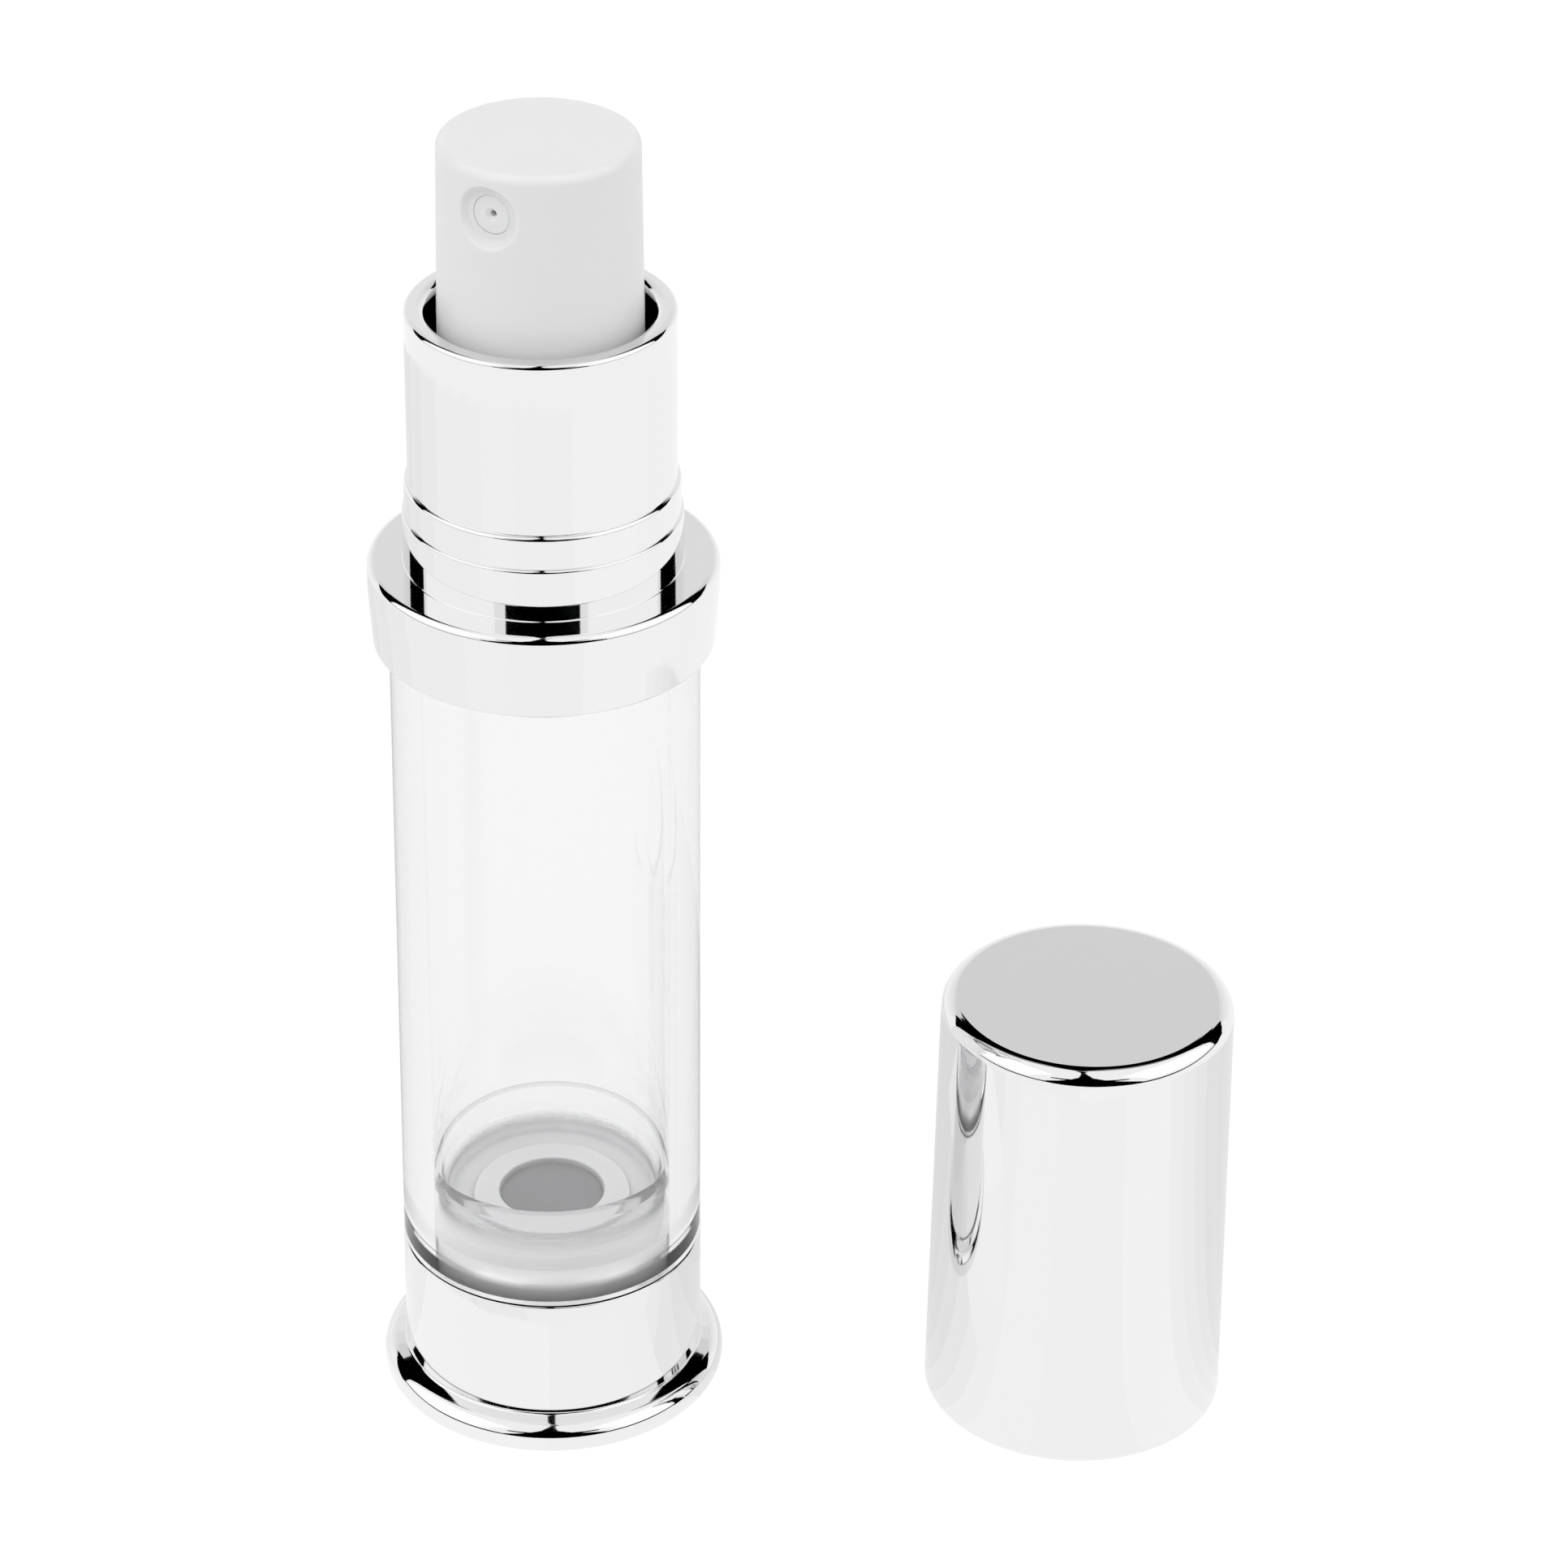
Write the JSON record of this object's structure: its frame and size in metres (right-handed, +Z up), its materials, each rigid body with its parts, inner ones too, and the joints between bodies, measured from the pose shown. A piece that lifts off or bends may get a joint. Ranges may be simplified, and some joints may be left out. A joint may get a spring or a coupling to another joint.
{
  "type": "serum pump bottle",
  "caption": "Small airless serum dispenser with a clear barrel, a follower piston, a chromed foot and collar, a white push-button pump, and its chromed cap standing beside it.",
  "frame": {"origin": "the middle of the foot's underside, on the table, on the bottle's axis", "axes": "+Z up the bottle's axis; the cap stands on the +X side; the nozzle points to the front (-Y), turned 28 degrees towards -X"},
  "size_m": [0.0567, 0.023, 0.0902],
  "materials": {
    "chrome": "polished",
    "clear_plastic": "gloss",
    "white_plastic": "satin",
    "milky_plastic": "satin",
    "natural_plastic": "satin",
    "seal_plastic": "satin",
    "seal_rubber": "matte",
    "steel": "satin"
  },
  "bodies": {
    "bottle": {"barrel": "clear_plastic", "base": "chrome"},
    "follower": {"follower_piston": "milky_plastic"},
    "cap": {"cap": "chrome"},
    "gasket": {"neck_gasket": "seal_rubber"},
    "head": {"collar": "chrome", "closure": "natural_plastic", "pump_housing": "natural_plastic", "stem_guide": "natural_plastic", "ball_retainer": "natural_plastic", "return_spring": "steel"},
    "inlet_valve": {"inlet_ball": "steel"},
    "seal": {"piston_seal": "seal_plastic"},
    "plunger": {"stem": "white_plastic", "stem_pin": "natural_plastic"},
    "button": {"actuator": "white_plastic", "nozzle_insert": "white_plastic"}
  },
  "joints": [
    {"name": "follower_slide", "type": "slide", "parent": "bottle", "child": "follower", "axis": [0, 0, 1], "range_m": [0, 0.0372]},
    {"name": "cap_lift", "type": "slide", "parent": "bottle", "child": "cap", "axis": [0, 0, 1], "range_m": [0, 0.04]},
    {"name": "head_lift", "type": "slide", "parent": "bottle", "child": "gasket", "axis": [0, 0, 1], "range_m": [0, 0.002]},
    {"name": "head_unscrew", "type": "hinge", "parent": "gasket", "child": "head", "pos_m": [0, 0, 0.0589], "axis": [0, 0, 1], "range_deg": [0, 450]},
    {"name": "press", "type": "slide", "parent": "head", "child": "plunger", "axis": [0, 0, -1], "range_m": [0, 0.004], "stiffness_N_per_m": 1000, "springref_m": -0.004, "deforming": ["return_spring"]},
    {"name": "seal_follow", "type": "slide", "parent": "head", "child": "seal", "axis": [0, 0, -1], "range_m": [0, 0.0035]},
    {"name": "actuator_turn", "type": "hinge", "parent": "plunger", "child": "button", "pos_m": [0, 0, 0.0756], "axis": [0, 0, 1], "continuous": true},
    {"name": "ball_lift", "type": "slide", "parent": "head", "child": "inlet_valve", "axis": [0, 0, 1], "range_m": [0, 0.0007]}
  ],
  "couplings": [
    {"joint": "head_unscrew", "follows": "head_lift", "rad_per_m": 3927},
    {"joint": "seal_follow", "follows": "press", "ratio": 0.875}
  ]
}
